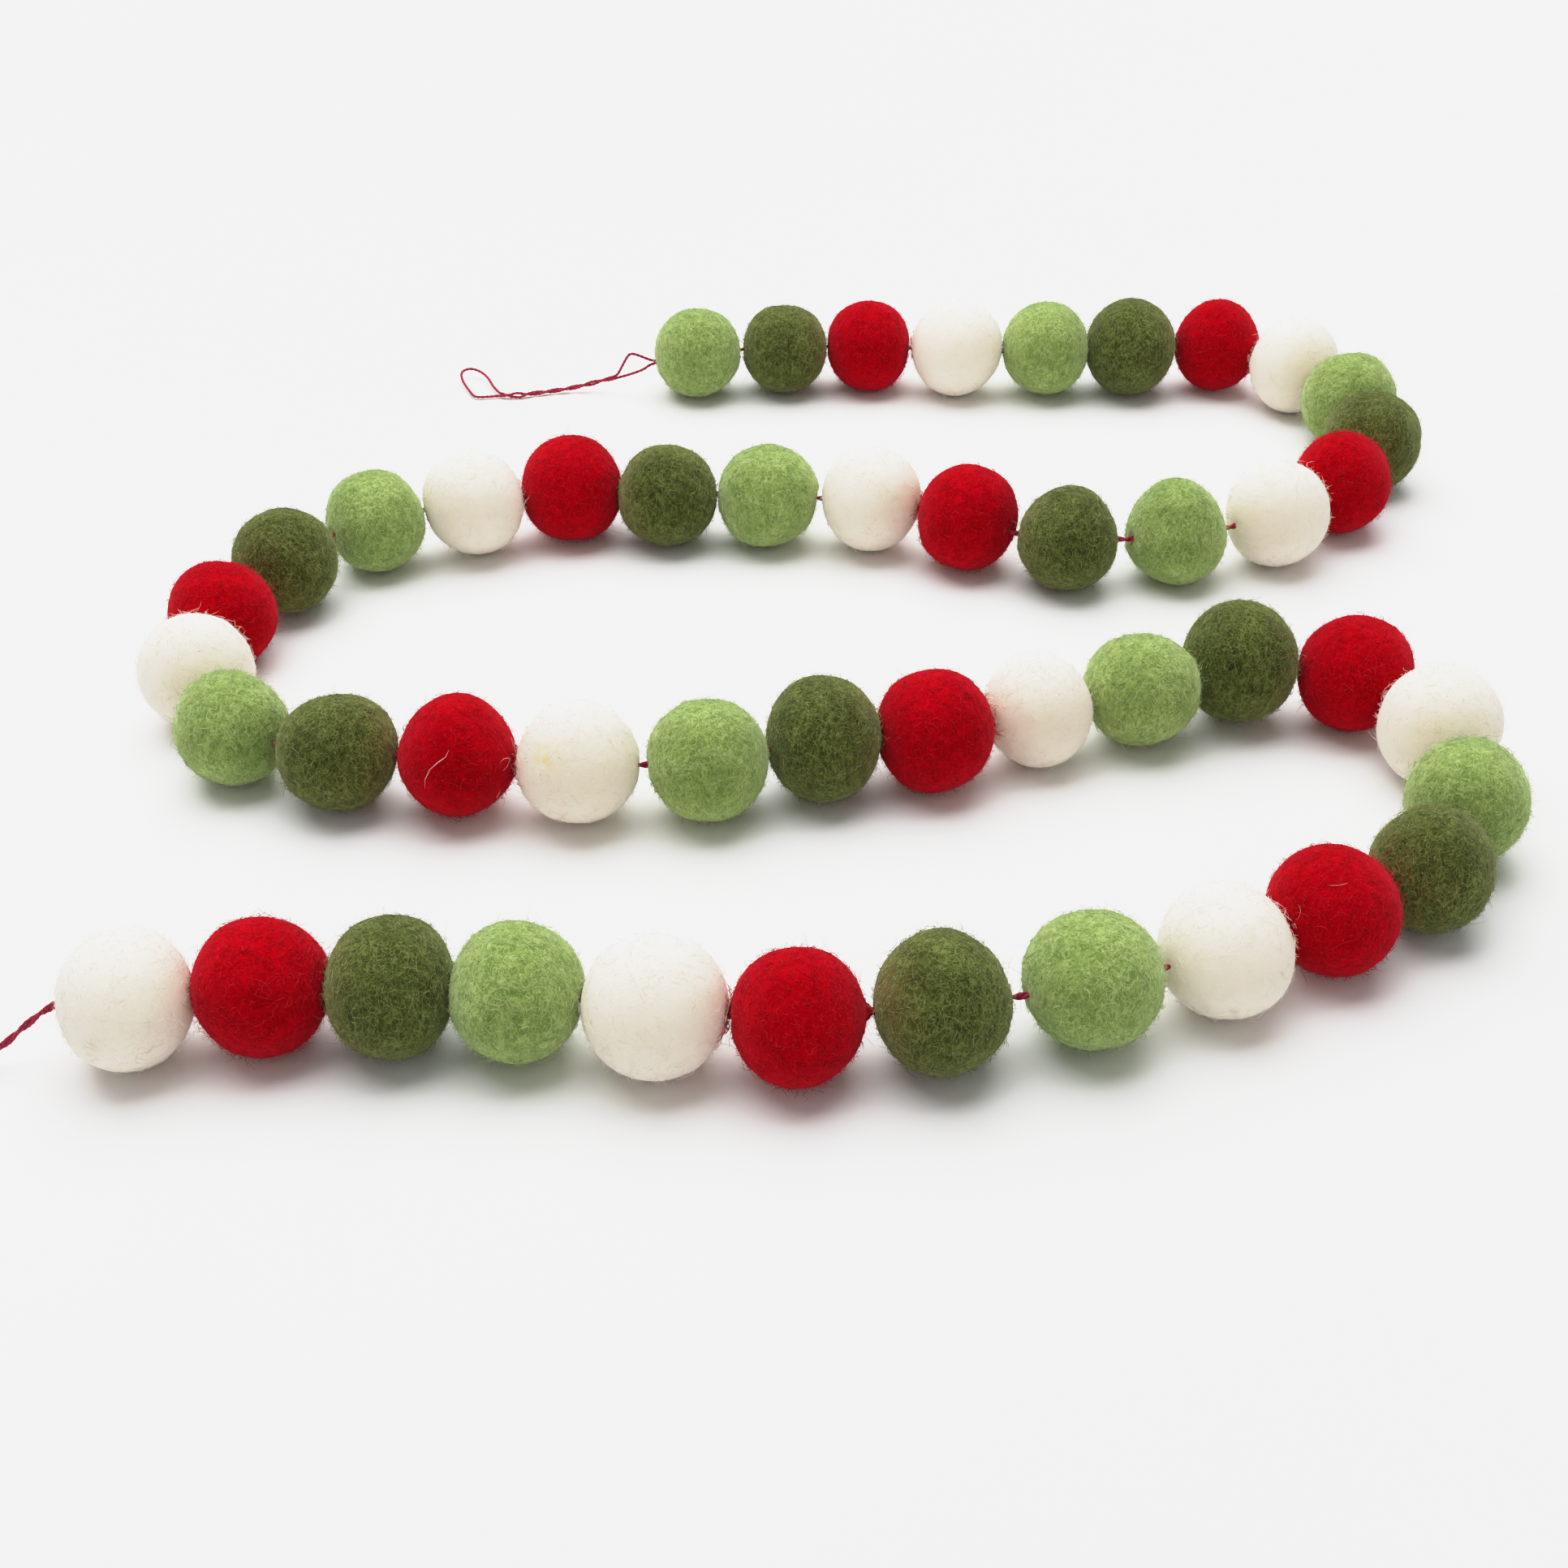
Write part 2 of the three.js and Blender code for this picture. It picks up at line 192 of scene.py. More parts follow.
def hair_tubes(paths, normals, radius):
    """Thin tapered closed tubes, one for each path: paths is (hairs, points, 3)."""
    count, n = paths.shape[:2]
    along = unit(np.gradient(paths, axis=1))
    side = unit(np.cross(along, normals))
    up = np.cross(side, along)
    inner = slice(1, n - 1)
    taper = np.sin(np.linspace(HAIR_TAPER, math.pi - HAIR_TAPER, n))[None, inner]
    rho = radius[:, None] * taper
    rings = []
    for k in range(HAIR_SIDES):
        a = 2 * math.pi * k / HAIR_SIDES
        away = math.cos(a) * up[:, inner] + math.sin(a) * side[:, inner]
        rings.append(paths[:, inner] + rho[..., None] * away)
    rings = np.stack(rings, axis=2)
    m = n - 2
    per = HAIR_SIDES * m + 2
    body = rings.reshape(count, HAIR_SIDES * m, 3)
    vertices = np.concatenate([paths[:, :1], body, paths[:, -1:]], axis=1)
    last = 1 + HAIR_SIDES * (m - 1)
    faces = []
    for k in range(HAIR_SIDES):
        k2 = (k + 1) % HAIR_SIDES
        faces.append([0, 1 + k, 1 + k2])
        for i in range(m - 1):
            a, b = 1 + HAIR_SIDES * i + k, 1 + HAIR_SIDES * i + k2
            faces.append([a, a + HAIR_SIDES, b + HAIR_SIDES])
            faces.append([a, b + HAIR_SIDES, b])
        faces.append([last + k, per - 1, last + k2])
    faces = np.asarray(faces)
    faces = (faces[None] + (np.arange(count) * per)[:, None, None]).reshape(-1, 3)
    return vertices.reshape(-1, 3), faces, per


# Materials


def linear(r, g, b):
    """A colour that is given as 0 to 255 on screen, as light."""
    c = np.array([r, g, b]) / 255
    return (*np.where(c <= 0.04045, c / 12.92, ((c + 0.055) / 1.055) ** 2.4), 1.0)


class Shader:
    """A short way to write a material's nodes."""

    def __init__(self, name):
        self.material = bpy.data.materials.new(name)
        self.material.use_nodes = True
        self.tree = self.material.node_tree
        self.shader = self.tree.nodes["Principled BSDF"]
        place = self.node("ShaderNodeTexCoord")
        self.place = self.node("ShaderNodeMapping")
        self.place.inputs["Scale"].default_value = (1 / MM,) * 3
        self.link(place.outputs["Object"], self.place.inputs["Vector"])

    def node(self, kind, **settings):
        made = self.tree.nodes.new(kind)
        for name, value in settings.items():
            setattr(made, name, value)
        return made

    def link(self, a, b):
        self.tree.links.new(a, b)

    def put(self, socket, value):
        if isinstance(value, bpy.types.NodeSocket):
            self.link(value, socket)
        else:
            socket.default_value = value

    def math(self, operation, a, b=0.0, clamp=False):
        made = self.node("ShaderNodeMath", operation=operation, use_clamp=clamp)
        self.put(made.inputs[0], a)
        self.put(made.inputs[1], b)
        return made.outputs[0]

    def between(self, value, low, high, to_low=0.0, to_high=1.0):
        made = self.node("ShaderNodeMapRange", interpolation_type="SMOOTHSTEP")
        self.put(made.inputs["Value"], value)
        made.inputs["From Min"].default_value = low
        made.inputs["From Max"].default_value = high
        made.inputs["To Min"].default_value = to_low
        made.inputs["To Max"].default_value = to_high
        return made.outputs["Result"]

    def mix(self, share, a, b):
        made = self.node("ShaderNodeMix", data_type="RGBA")
        self.put(made.inputs["Factor"], share)
        self.put(made.inputs[6], a)
        self.put(made.inputs[7], b)
        return made.outputs[2]

    def noise(self, scale, detail=2.0, rough=0.5, distort=0.0, vector=None):
        made = self.node("ShaderNodeTexNoise")
        self.link(vector or self.place.outputs["Vector"], made.inputs["Vector"])
        made.inputs["Scale"].default_value = scale
        made.inputs["Detail"].default_value = detail
        made.inputs["Roughness"].default_value = rough
        made.inputs["Distortion"].default_value = distort
        return made.outputs[0]

    def curled(self, scale, amount):
        """The place on the piece, pushed about so that straight lines curl."""
        push = self.node("ShaderNodeTexNoise")
        push.inputs["Scale"].default_value = scale
        push.inputs["Detail"].default_value = 0.0
        self.link(self.place.outputs["Vector"], push.inputs["Vector"])
        away = self.node("ShaderNodeVectorMath", operation="MULTIPLY_ADD")
        self.link(push.outputs["Color"], away.inputs[0])
        away.inputs[1].default_value = (amount,) * 3
        self.link(self.place.outputs["Vector"], away.inputs[2])
        return away.outputs["Vector"]

    def strands(self, curled, scale, width, turn, stretch=0.3):
        """Fine curled fibres: lines where a drawn-out noise passes through its middle value."""
        drawn = self.node("ShaderNodeMapping")
        drawn.inputs["Location"].default_value = turn
        drawn.inputs["Rotation"].default_value = turn
        drawn.inputs["Scale"].default_value = (scale, scale, scale * stretch)
        self.link(curled, drawn.inputs["Vector"])
        n = self.noise(1.0, detail=0.0, vector=drawn.outputs["Vector"])
        away = self.math("ABSOLUTE", self.math("SUBTRACT", n, 0.5))
        return self.between(away, 0.0, width, 1.0, 0.0)

    def attribute(self, name):
        return self.node("ShaderNodeAttribute", attribute_name=name).outputs["Fac"]

    def bump(self, height, distance, strength):
        made = self.node("ShaderNodeBump")
        made.inputs["Strength"].default_value = strength
        made.inputs["Distance"].default_value = distance
        self.link(height, made.inputs["Height"])
        self.link(made.outputs["Normal"], self.shader.inputs["Normal"])

    def finish(self, color, rough, specular, sheen=0.0, sheen_tint=(1, 1, 1, 1)):
        self.put(self.shader.inputs["Base Color"], color)
        self.shader.inputs["Roughness"].default_value = rough
        self.shader.inputs["Sheen Weight"].default_value = sheen
        self.shader.inputs["Sheen Roughness"].default_value = 0.5
        self.shader.inputs["Sheen Tint"].default_value = sheen_tint
        self.shader.inputs["Specular IOR Level"].default_value = specular
        return self.material


# Each wool: its colour in the bump's hollows, darker there as painted shade, and where it is
# full, its lying fibres, the painted shade in its creases, how strongly both show, the painted
# shade with a red cast where it is near a red ball and how strongly that shows, a discoloured
# place, how rough the surface and how lumpy the form is, its soft glow at the edge and that
# glow's colour, the range of its loose fibres' colours, how much those curl and how many there are.
WOOLS = {
    "lime": {
        "deep": (96, 122, 52),
        "full": (144, 168, 88),
        "fibre": (194, 212, 138),
        "crease_shade": (80, 104, 44),
        "fibre_share": 0.56,
        "crease_shade_share": 0.35,
        "red_cast_shade": (126, 122, 70),
        "red_cast_shade_share": 0.3,
        "mark": (150, 170, 90),
        "rough_patch": 1.0,
        "lumps": 1.0,
        "sheen": 0.7,
        "glow": (228, 246, 190),
        "loose": ((124, 150, 74), (206, 220, 156)),
        "curl": 2.6,
        "fibres": 1.0,
    },
    "moss": {
        "deep": (32, 41, 12),
        "full": (80, 92, 38),
        "fibre": (146, 156, 92),
        "crease_shade": (18, 22, 6),
        "fibre_share": 0.42,
        "crease_shade_share": 0.4,
        "red_cast_shade": (104, 70, 36),
        "red_cast_shade_share": 0.85,
        "mark": (104, 78, 40),
        "rough_patch": 1.0,
        "lumps": 1.0,
        "sheen": 0.45,
        "glow": (206, 214, 160),
        "loose": ((64, 72, 32), (172, 172, 108)),
        "curl": 2.6,
        "fibres": 1.0,
    },
    "red": {
        "deep": (140, 0, 6),
        "full": (178, 0, 14),
        "fibre": (216, 14, 36),
        "crease_shade": (96, 0, 4),
        "fibre_share": 0.34,
        "crease_shade_share": 0.28,
        "red_cast_shade": (184, 8, 28),
        "red_cast_shade_share": 0.0,
        "mark": (200, 20, 40),
        "rough_patch": 0.8,
        "lumps": 0.8,
        "sheen": 0.45,
        "glow": (250, 84, 102),
        "loose": ((164, 0, 14), (208, 30, 46)),
        "curl": 2.6,
        "fibres": 1.0,
    },
    "white": {
        "deep": (246, 232, 215),
        "full": (248, 236, 218),
        "fibre": (250, 240, 226),
        "crease_shade": (226, 208, 192),
        "fibre_share": 0.3,
        "crease_shade_share": 0.08,
        "red_cast_shade": (244, 196, 184),
        "red_cast_shade_share": 0.36,
        "mark": (236, 216, 160),
        "rough_patch": 0.6,
        "lumps": 0.7,
        "sheen": 0.0,
        "glow": (255, 252, 244),
        "loose": ((232, 220, 204), (252, 242, 228)),
        "curl": 1.6,
        "fibres": 0.6,
    },
}

# The loose fibres where white and red wool mingle.
BLUSH = {"loose": ((226, 150, 150), (250, 226, 220))}

# How much of the white wool's light passes through it, and how deep.
WHITE_SCATTER = 0.6
WHITE_DEPTH = 16 * MM

# The fibres that lie in the felt are the lines of five drawn-out noises: which of the two curls
# pushes them about, their scale, the lines' width and their turn.
LYING_FIBRES = (
    ("wide", 0.62, 0.026, (0.3, 0.4, 1.9)),
    ("tight", 0.62, 0.026, (1.7, 0.5, 0.9)),
    ("wide", 0.75, 0.030, (0.8, 2.3, 0.1)),
    ("tight", 0.9, 0.034, (2.6, 1.4, 1.1)),
    ("tight", 0.75, 0.030, (0.9, 5.4, 3.1)),
)


def felt_material(name, wool):
    s = Shader("felt_" + name)
    cloud = s.between(s.noise(0.11, 3.0, 0.55), 0.3, 0.7)
    patch = s.between(s.noise(0.45, 4.0, 0.6, 0.6), 0.32, 0.68)
    # The patch noise also raises the bump below, so the deep colour falls in the bump's hollows:
    # painted shade over a random mottling.
    shade = s.mix(s.math("MULTIPLY", patch, 0.65), linear(*wool["deep"]), linear(*wool["full"]))
    shade = s.mix(s.math("MULTIPLY", cloud, 0.35), shade, linear(*wool["full"]))
    # Painted shade with a red cast, in patches, where the ball is near a red neighbour: that ball's
    # shadow and the red light it throws back.
    red_cast_shade = s.math("MULTIPLY", s.attribute("red_cast_shade"), s.between(s.noise(0.3, 3.0, 0.6), 0.3, 0.62))
    shade = s.mix(s.math("MULTIPLY", red_cast_shade, wool["red_cast_shade_share"]), shade, linear(*wool["red_cast_shade"]))
    mark = s.math("MULTIPLY", s.attribute("mark"), s.between(s.noise(0.6, 2.0), 0.25, 0.6))
    shade = s.mix(mark, shade, linear(*wool["mark"]))
    curls = {"wide": s.curled(0.45, 2.0), "tight": s.curled(0.8, 1.3)}
    # Painted shade: thin dark curled lines, the shadows in the felt's creases.
    crease_shade_lines = s.strands(curls["tight"], 0.55, 0.030, (4.2, 0.6, 2.2), 0.5)
    shade = s.mix(s.math("MULTIPLY", crease_shade_lines, wool["crease_shade_share"]), shade, linear(*wool["crease_shade"]))
    web = 0.0
    for curl, scale, width, turn in LYING_FIBRES:
        web = s.math("MAXIMUM", web, s.strands(curls[curl], scale, width, turn))
    fuller = s.math("ADD", s.math("MULTIPLY", cloud, 0.5), 0.6)
    share = s.math("MULTIPLY", fuller, wool["fibre_share"])
    shade = s.mix(s.math("MULTIPLY", web, share), shade, linear(*wool["fibre"]))
    grain = s.noise(2.6, 2.0, 0.7)
    height = s.math("ADD", grain, s.math("MULTIPLY", patch, wool["rough_patch"]))
    s.bump(height, 0.2 * MM, 0.7)
    if name == "white":
        s.shader.inputs["Subsurface Weight"].default_value = WHITE_SCATTER
        s.shader.inputs["Subsurface Radius"].default_value = (1.0, 1.0, 1.0)
        s.shader.inputs["Subsurface Scale"].default_value = WHITE_DEPTH
    return s.finish(shade, 0.95, 0.0, wool["sheen"], linear(*wool["glow"]))


def loose_material(name, wool):
    s = Shader("loose_" + name)
    low, high = wool["loose"]
    tone = s.math("ADD", s.attribute("tone"), s.math("MULTIPLY", s.noise(0.8), 0.3), True)
    return s.finish(s.mix(tone, linear(*low), linear(*high)), 0.8, 0.25)


def thread_material():
    s = Shader("crimson_thread")
    fleck = s.between(s.noise(2.6, 3.0, 0.6), 0.3, 0.7)
    shade = s.mix(fleck, linear(112, 10, 34), linear(168, 28, 64))
    fibres = s.strands(s.curled(1.0, 0.6), 2.2, 0.12, (1.3, 0.2, 2.4))
    shade = s.mix(s.math("MULTIPLY", fibres, 0.4), shade, linear(206, 84, 104))
    s.bump(s.noise(5.0, 2.0), 0.06 * MM, 0.6)
    return s.finish(shade, 0.75, 0.25, 0.15, linear(214, 110, 130))


# The thread and its two tails, in millimetres

SECTION_REACH = 3  # corners of the CAD thread that are this near each other are one bend of it


def stations():
    """The places where the thread bends, in order from the far end, and the balls' middles."""
    points = np.array([v.co for v in NODES["thread_through_balls"].data.vertices]) / MM
    left = list(range(len(points)))
    groups = []
    while left:
        seed = points[left[0]]
        near = [i for i in left if np.linalg.norm(points[i] - seed) < SECTION_REACH]
        groups.append(points[near].mean(0))
        left = [i for i in left if i not in near]
    groups = np.array(groups)

    def nearest(place):
        return groups[np.argmin(np.linalg.norm(groups - place, axis=1))]

    centres = np.array([np.array(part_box(name)).mean(0) / MM for name in BALL_NAMES])
    order = [nearest(1.5 * centres[0] - 0.5 * centres[1])]
    order += [nearest((a + b) / 2) for a, b in zip(centres[:-1], centres[1:])]
    order.append(nearest(1.5 * centres[-1] - 0.5 * centres[-2]))
    return np.array(order), centres


PAIR_RADIUS = 0.35  # of the two strands' winding
PAIR_PITCH = 11.0
PAIR_PHASE = 0.6
INNER_PITCH = 6.0  # tighter, inside the balls

# The two strands are further apart in places: how far along the pair, and by how much.
FAR_SWELLS = ((8, 0.1), (29, 0.35))
NEAR_SWELLS = ((24, 0.3),)
SWELL_WIDTH = 2.6

TAIL_SIDES = 10
INNER_SIDES = 7
TAIL_HAIRS = 150
TAIL_HAIR_RADIUS = 0.035
FLOOR_GAP = 0.02  # between the tails and the floor
HAIR_FLOOR = 0.05  # the lowest that a tail's stray hairs run

# The inner thread has close sections from each bend to this far into a ball, where it may show.
SHOWN_REACH = 4
SHOWN_STEP = 0.55

FAR_UPPER = [
    [-49.0, 136.0, 9.9],
    [-51.0, 136.0, 10.4],
    [-53.0, 135.7, 11.4],
    [-55.5, 135.3, 12.5],
    [-56.8, 135.2, 12.2],
    [-58.6, 135.7, 9.0],
    [-60.2, 136.2, 5.8],
]
FAR_LOWER = [
    [-49.0, 136.0, 9.4],
    [-51.0, 136.0, 8.8],
    [-53.0, 135.9, 7.4],
    [-56.8, 136.0, 5.9],
    [-60.2, 136.2, 4.8],
]
FAR_PAIR = [
    [-61.4, 136.5, 4.6],
    [-65.0, 137.2, 3.4],
    [-70.0, 137.3, 2.0],
    [-75.0, 136.8, 1.1],
    [-80.0, 135.7, 0.8],
    [-85.0, 134.2, 0.8],
    [-90.0, 132.8, 0.8],
    [-94.0, 133.6, 0.8],
]
FAR_LOOP = [
    [-96.4, 138.6, 1.1],
    [-98.4, 143.2, 1.5],
    [-101.0, 146.4, 2.0],
    [-104.0, 147.6, 2.3],
    [-106.1, 145.4, 2.2],
    [-105.4, 141.3, 1.5],
    [-103.2, 136.6, 0.9],
    [-101.0, 132.8, 0.6],
    [-98.4, 132.6, 0.5],
]
NEAR_PAIR = [
    [-141.0, -138.7, 12.9],
    [-142.3, -138.9, 12.1],
    [-144.0, -139.2, 11.0],
    [-147.6, -139.8, 8.1],
    [-151.4, -140.6, 4.9],
    [-156.0, -141.8, 2.2],
    [-161.5, -142.9, 1.0],
    [-168.0, -143.5, 0.8],
    [-175.0, -144.2, 0.8],
    [-182.0, -144.4, 0.8],
    [-187.0, -143.6, 0.8],
]
NEAR_LOOP = [
    [-191.0, -139.8, 0.6],
    [-195.5, -137.6, 0.5],
    [-199.6, -139.4, 0.5],
    [-200.2, -143.8, 0.5],
    [-196.8, -147.4, 0.5],
    [-191.8, -147.0, 0.6],
]


def pair_lines(route, swells):
    """The two strands that wind round a route, a little apart in the places that swells names."""
    line = spaced(smooth_line(route, 0.3), 0.4)
    length = lengths_along(line)
    radius = np.full(len(line), PAIR_RADIUS)
    for at, extra in swells:
        radius = radius + extra * np.exp(-(((length - at) / SWELL_WIDTH) ** 2))
    phases = (PAIR_PHASE, PAIR_PHASE + math.pi)
    return [twisted(line, radius, PAIR_PITCH, phase) for phase in phases]


def stray_hairs(line, rng):
    """Short hairs that stand off a tail."""
    pick = rng.integers(4, len(line) - 8, TAIL_HAIRS)
    turn = unit(rng.normal(size=(TAIL_HAIRS, 3)))
    turn[:, 2] = np.abs(turn[:, 2])
    reach = rng.uniform(0.25, 1.0, TAIL_HAIRS)
    start = line[pick]
    ahead = (0.9 * (line[pick + 3] - start))[:, None]
    s = np.linspace(0, 1, 4)[None, :, None]
    paths = start[:, None] + s * ahead + (s**1.3) * (turn * reach[:, None])[:, None]
    paths[:, :, 2] = np.maximum(paths[:, :, 2], HAIR_FLOOR)
    upward = np.broadcast_to([0.0, 0.0, 1.0], paths.shape)
    return hair_tubes(paths, upward, np.full(TAIL_HAIRS, TAIL_HAIR_RADIUS))[:2]


def tail_piece(name, node, out_start, out_end, pair, loop, swells, rng):
    """One strand that runs out from the balls, round the end loop and back along itself."""
    out, back = pair_lines(pair, swells)
    bend = smooth_line(np.vstack([out[-1:], loop, back[-1:]]), 0.4)
    parts = [out, bend[1:-1], back[::-1]]
    if len(out_start):
        parts = [smooth_line(out_start, 0.4), *parts, smooth_line(out_end, 0.4)[::-1]]
    line = spaced(eased(spaced(np.vstack(parts), 0.3), 6), 0.3)
    line[:, 2] = np.maximum(line[:, 2], STRAND_D / 2 + FLOOR_GAP)
    points, faces = strand_tube(line, STRAND_D, TAIL_SIDES)
    hair, hair_faces = stray_hairs(line, rng)
    faces = np.vstack([faces, hair_faces + len(points)])
    piece = mesh_object(name, np.vstack([points, hair]), faces, [THREAD])
    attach(piece, "root")
    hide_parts(node)


def inner_thread(places):
    """The twisted pair through the balls, finer where it shows in a gap."""
    line = []
    for a, b in zip(places[:-1], places[1:]):
        reach = np.linalg.norm(b - a)
        hidden = np.linspace(SHOWN_REACH, reach - SHOWN_REACH, 7)[1:-1]
        leaving = reach - np.arange(SHOWN_REACH, 0, -SHOWN_STEP)
        at = np.r_[np.arange(0, SHOWN_REACH, SHOWN_STEP), hidden, leaving]
        line.append(a + (b - a) * (at / reach)[:, None])
    line.append(places[-1:])
    line = eased(np.vstack(line), 2)
    strands = [twisted(line, PAIR_RADIUS, INNER_PITCH, phase) for phase in (0, math.pi)]
    tubes = [strand_tube(strand, STRAND_D, INNER_SIDES) for strand in strands]
    count = len(tubes[0][0])
    faces = np.vstack([tubes[0][1], tubes[1][1] + count])
    piece = mesh_object("thread_inside", np.vstack([t[0] for t in tubes]), faces, [THREAD])
    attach(piece, "root")
    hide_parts("thread_through_balls")


# The balls


def even_directions(count):
    """Directions spread evenly over the sphere."""
    i = np.arange(count) + 0.5
    z = 1 - 2 * i / count
    turn = i * math.pi * (3 - math.sqrt(5))
    across = np.sqrt(1 - z**2)
    return np.c_[across * np.cos(turn), across * np.sin(turn), z]


def fine_sphere(parts):
    """An icosahedron whose edges are cut into that many parts, on the unit sphere."""
    bm = bmesh.new()
    bmesh.ops.create_icosphere(bm, subdivisions=1, radius=1)
    corners = np.array([[v.co for v in f.verts] for f in bm.faces])
    bm.free()
    places = [(i, j) for i in range(parts + 1) for j in range(parts + 1 - i)]
    share = np.array([(parts - i - j, i, j) for i, j in places]) / parts
    index = {place: k for k, place in enumerate(places)}
    local = []
    for i, j in places:
        if i + j < parts:
            local.append((index[i, j], index[i + 1, j], index[i, j + 1]))
        if i + j < parts - 1:
            local.append((index[i + 1, j], index[i + 1, j + 1], index[i, j + 1]))
    points = unit(np.vstack([share @ c for c in corners]))
    faces = np.vstack([np.array(local) + k * len(places) for k in range(len(corners))])
    _, first, back = np.unique(points.round(5), axis=0, return_index=True, return_inverse=True)
    return points[first], back.reshape(-1)[faces]


SAMPLES = even_directions(700)
SPHERE, SPHERE_FACES = fine_sphere(13)
SMOOTHING = 13.0  # how closely the fine surface follows the CAD solid's facets
END_CLEAR = 0.955  # a ray this near the thread's heading, by its cosine, could meet the hole
RAY_START, RAY_LENGTH = 40, 60

# A ball's unevenness: waves over it, with the range of their rates, their height and their number.
WAVES = ((2.5, 5, 0.10, 5), (7, 11, 0.028, 8), (16, 26, 0.012, 10))

# The dimple where the thread comes out, and balls that are drawn to a tip there instead: how far
# each of their two ends is drawn out.
DIMPLE, DIMPLE_WIDTH = 0.7, 0.13
TIPS = {43: (2.2, 0.0)}
TIP_WIDTH = 0.11

# The underside is eased onto the floor: its lowest level, and how softly it gets there.
REST_HEIGHT = 0.12
REST_SOFTNESS = 0.3


class Ball:
    """A ball's smooth, hand-rolled surface, as a radius for each direction from its middle."""

    def __init__(self, number, name, centre, start, end):
        self.number = number
        self.name = name
        self.wool = name.split("_")[-1]
        self.centre = centre
        self.heading = unit(end - start)
        self.ends = [unit(start - centre), unit(end - centre)]
        self.tips = TIPS.get(number, (0.0, 0.0))
        rng = np.random.default_rng(4100 + number)
        lumps = WOOLS[self.wool]["lumps"]
        self.waves = []
        for low, high, size, count in WAVES:
            for _ in range(count):
                way, rate = unit(rng.normal(size=3)), rng.uniform(low, high)
                phase, height = rng.uniform(0, 6.3), lumps * size * rng.uniform(0.6, 1.4)
                self.waves.append((way, rate, phase, height))
        mesh = NODES[name].data
        corners = [v.co / MM for v in mesh.vertices]
        tree = BVHTree.FromPolygons(corners, [p.vertices[:] for p in mesh.polygons])
        known, reach = [], []
        for d in SAMPLES[np.abs(SAMPLES @ self.heading) < END_CLEAR]:
            hit = tree.ray_cast(Vector(centre + RAY_START * d), Vector(-d), RAY_LENGTH)[0]
            if hit is not None:
                known.append(d)
                reach.append(np.linalg.norm(np.array(hit) - centre))
        self.known = np.array(known)
        self.reach = np.array(reach)

    def radius(self, d):
        """The surface's distance from the middle in the directions d."""
        weight = np.exp(SMOOTHING * (d @ self.known.T - 1)) + 1e-9
        r = (weight @ self.reach) / weight.sum(1)
        for way, rate, phase, size in self.waves:
            r = r + size * np.cos(rate * (d @ way) + phase)
        for end, tip in zip(self.ends, self.tips):
            away = np.arccos(np.clip(d @ end, -1, 1))
            r = r - DIMPLE * np.exp(-((away / DIMPLE_WIDTH) ** 2))
            r = r + tip * np.exp(-((away / TIP_WIDTH) ** 2))
        return r

    def on_surface(self, d, height=0.0):
        """Points in the directions d, at a height over the surface."""
        p = self.centre + d * (self.radius(d) + height)[:, None]
        above = p[:, 2] - REST_HEIGHT
        lifted = REST_SOFTNESS * np.log1p(np.exp(np.clip(above / REST_SOFTNESS, -30, 30)))
        p[:, 2] = REST_HEIGHT + np.where(above > 4 * REST_SOFTNESS, above, lifted)
        return p


def turned(tangent, normal, angle):
    """A tangent turned about the normal."""
    side = np.cross(normal, tangent)
    return tangent * np.cos(angle)[:, None] + side * np.sin(angle)[:, None]


LOWEST_ROOT = -0.86  # no fibre starts lower on a ball than this share of its radius
ROOT_DEPTH = 0.06


def fibre_paths(ball, rng, count, steps, length, curl, lift, standing):
    """Wool fibres that lie in curls on the ball. Some stand off it at one end."""
    d = unit(rng.normal(size=(count * 2, 3)))
    d = d[d[:, 2] > LOWEST_ROOT][:count]
    count = len(d)
    tangent = unit(np.cross(d, unit(rng.normal(size=(count, 3)))))
    reach = rng.uniform(*length, count)
    bend = rng.normal(0, curl, count)
    stands = rng.random(count) < standing
    rise = np.where(stands, rng.gamma(2.0, lift, count), 0)
    lying = rng.uniform(0.03, 0.16, count)
    points, normals = [], []
    for k in range(steps + 1):
        s = k / steps
        height = -ROOT_DEPTH + lying * math.sin(math.pi * s) + rise * s**1.3
        points.append(ball.on_surface(d, height))
        normals.append(d)
        ahead = reach / steps / ball.reach.mean()
        d = unit(d + tangent * ahead[:, None])
        tangent = unit(tangent - d * (tangent * d).sum(1)[:, None])
        tangent = turned(tangent, d, bend / steps * (1 + 0.8 * rng.normal(size=count)))
    return np.stack(points, 1), np.stack(normals, 1)


# How far from a red neighbour the painted shade with a red cast fades out.
RED_CAST_SHADE_REACH = 5.0


def red_closeness(points, ball, balls):
    """How near each point is to a red neighbour's surface, from 0 to 1: the mask of the painted
    shade with a red cast.
    """
    share = np.zeros(len(points))
    if ball.wool == "red":
        return share
    for other in balls:
        if other.wool == "red" and abs(other.number - ball.number) == 1:
            gap = np.linalg.norm(points - other.centre, axis=1) - other.reach.mean()
            share = np.maximum(share, np.exp(-np.maximum(gap, 0) / RED_CAST_SHADE_REACH))
    return share


WISP_STEPS = 5


